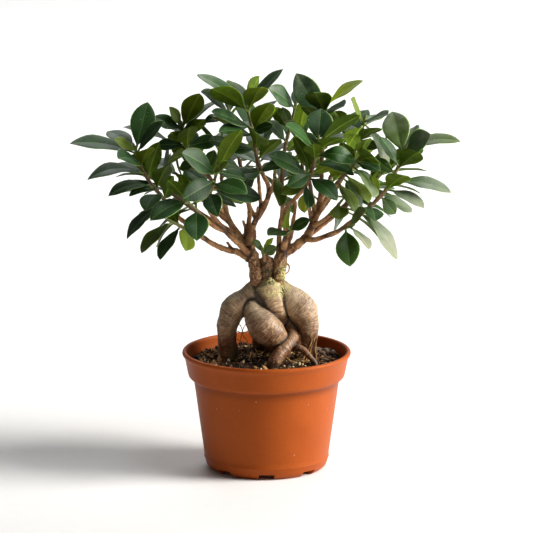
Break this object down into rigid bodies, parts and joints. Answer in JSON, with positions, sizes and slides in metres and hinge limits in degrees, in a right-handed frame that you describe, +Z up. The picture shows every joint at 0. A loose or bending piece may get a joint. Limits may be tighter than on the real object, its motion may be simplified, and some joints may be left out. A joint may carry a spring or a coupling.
{
  "type": "ficus ginseng bonsai in a pot",
  "caption": "Small fig bonsai with swollen aerial roots, branching crown of leafy shoots and soil, standing in a round tapered plastic nursery pot.",
  "frame": {"origin": "middle of the whole plant's box, at the height of the pot's foot", "axes": "+Z up, +X to the right of the picture, -Y towards the picture's viewer"},
  "size_m": [0.276, 0.1638, 0.2876],
  "materials": {
    "pot_plastic": "matte injection moulded, faint grain",
    "potting_soil": "loose damp bark and peat mix",
    "fig_bark": "smooth grey-brown bark with fine cross ridges",
    "fig_leaf": "waxy upper face, matt paler underside"
  },
  "bodies": {
    "root": {"pot": "pot_plastic", "soil": "potting_soil", "wood": "fig_bark", "shoot_far_left": "fig_leaf", "shoot_upper_left": "fig_leaf", "shoot_front_left": "fig_leaf", "shoot_low_left": "fig_leaf", "shoot_left_inner": "fig_leaf", "shoot_top_left": "fig_leaf", "shoot_centre_bud": "fig_leaf", "shoot_top_back_left": "fig_leaf", "shoot_centre_back": "fig_leaf", "shoot_front_centre": "fig_leaf", "shoot_neck_sprout": "fig_leaf", "shoot_stump_sprout": "fig_leaf", "shoot_inner_right": "fig_leaf", "shoot_top_right": "fig_leaf", "shoot_mid_right": "fig_leaf", "shoot_lower_right": "fig_leaf", "shoot_low_right": "fig_leaf", "shoot_right": "fig_leaf", "shoot_far_right": "fig_leaf", "shoot_back_01": "fig_leaf", "shoot_back_02": "fig_leaf", "shoot_back_03": "fig_leaf", "shoot_back_04": "fig_leaf", "shoot_back_05": "fig_leaf", "shoot_back_06": "fig_leaf", "shoot_back_07": "fig_leaf", "shoot_back_08": "fig_leaf", "shoot_back_09": "fig_leaf", "shoot_back_10": "fig_leaf", "shoot_back_11": "fig_leaf", "shoot_back_12": "fig_leaf", "shoot_back_13": "fig_leaf"}
  },
  "joints": []
}
